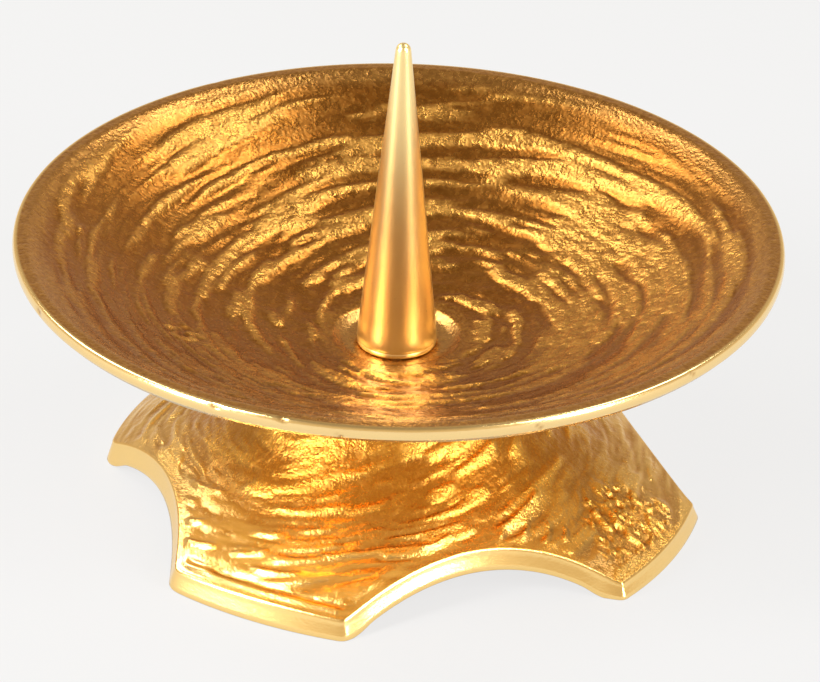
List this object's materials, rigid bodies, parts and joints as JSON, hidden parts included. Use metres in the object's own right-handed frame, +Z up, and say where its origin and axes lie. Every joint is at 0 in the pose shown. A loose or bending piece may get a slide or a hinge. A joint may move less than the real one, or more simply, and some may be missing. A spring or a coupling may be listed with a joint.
{
  "type": "altar candlestick",
  "caption": "Low cast-metal altar candlestick: a round drip dish on a flared, scalloped foot, with a tapered pricket spike that the candle is pushed onto.",
  "frame": {"origin": "on the table under the vertical axis, at the centre of the bounding box's bottom face", "axes": "+Z up along the spike; the feet point along +X, +Y, -X and -Y"},
  "size_m": [0.15, 0.15, 0.0985],
  "materials": {
    "turned_brass": "turned and satin polished",
    "cast_bronze_dish": "as cast with a brushed-on texture, polished rim",
    "cast_bronze_base": "as cast with tooled strokes, polished edges",
    "zinc_steel": "zinc plated",
    "spring_steel": "plain spring steel"
  },
  "bodies": {
    "root": {"candle_spike": "turned_brass", "drip_dish": "cast_bronze_dish", "footed_base": "cast_bronze_base", "tie_stud": "zinc_steel", "plain_washer": "zinc_steel", "spring_washer": "spring_steel", "hex_nut": "zinc_steel"}
  },
  "joints": []
}
